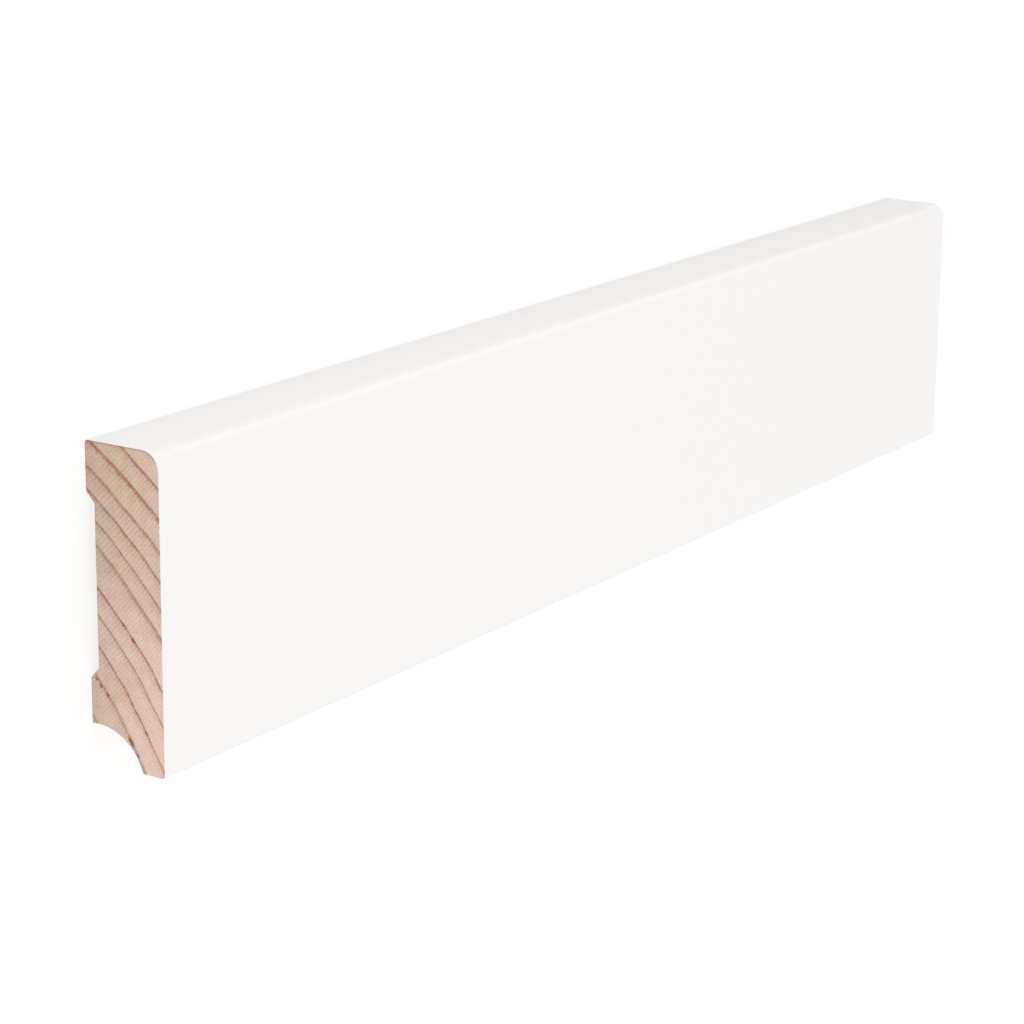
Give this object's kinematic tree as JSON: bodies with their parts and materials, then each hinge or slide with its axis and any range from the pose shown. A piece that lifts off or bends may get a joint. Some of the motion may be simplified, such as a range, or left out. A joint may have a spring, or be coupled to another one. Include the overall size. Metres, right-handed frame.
{
  "type": "skirting board length",
  "caption": "Short length of white-lacquered softwood skirting board, with a rounded top front edge, a shallow relief across its back and a cable cove at its lower back.",
  "frame": {"origin": "middle of the footprint, on the plane that the wall touches", "axes": "+X along the length; +Y towards the rounded top edge; +Z out of the painted front, away from the wall"},
  "size_m": [0.3, 0.058, 0.016],
  "materials": {
    "lacquered_softwood": "satin white lacquer on the front, top and foot, bare planed pine on the back and the sawn ends"
  },
  "bodies": {
    "root": {"skirting_board": "lacquered_softwood"}
  },
  "joints": []
}
